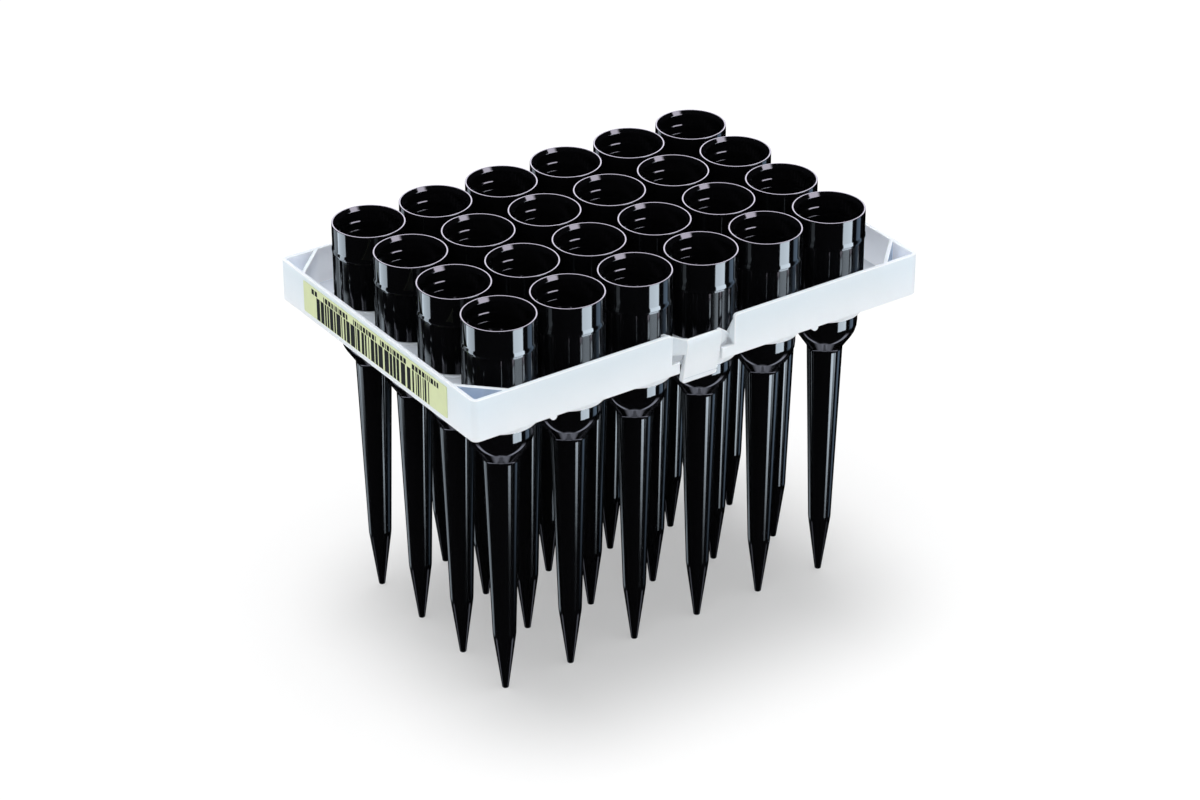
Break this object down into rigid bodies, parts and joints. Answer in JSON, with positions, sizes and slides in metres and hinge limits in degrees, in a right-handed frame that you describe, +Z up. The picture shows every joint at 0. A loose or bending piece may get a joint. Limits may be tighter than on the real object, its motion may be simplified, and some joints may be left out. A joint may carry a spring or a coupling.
{
  "type": "rack of pipette tips",
  "caption": "Shallow frosted tray with a coded label, standing on a grid of long hollow black pipette tips held by their sleeves.",
  "frame": {"origin": "middle of the grid of tips, level with the tips' open ends, which the rack stands on", "axes": "+X along the long side, away from the labelled wall; +Y across, from row a to row d; +Z up"},
  "size_m": [0.1214, 0.0826, 0.097],
  "materials": {
    "frosted_tray": "frosted, slightly translucent moulded polypropylene",
    "black_tip": "glossy black moulded polypropylene",
    "label": "pale yellow-green label with plain black bars"
  },
  "bodies": {
    "root": {"tray": "frosted_tray", "label": "label", "tip_a1": "black_tip", "tip_a2": "black_tip", "tip_a3": "black_tip", "tip_a4": "black_tip", "tip_a5": "black_tip", "tip_a6": "black_tip", "tip_b1": "black_tip", "tip_b2": "black_tip", "tip_b3": "black_tip", "tip_b4": "black_tip", "tip_b5": "black_tip", "tip_b6": "black_tip", "tip_c1": "black_tip", "tip_c2": "black_tip", "tip_c3": "black_tip", "tip_c4": "black_tip", "tip_c5": "black_tip", "tip_c6": "black_tip", "tip_d1": "black_tip", "tip_d2": "black_tip", "tip_d3": "black_tip", "tip_d4": "black_tip", "tip_d5": "black_tip", "tip_d6": "black_tip"}
  },
  "joints": []
}
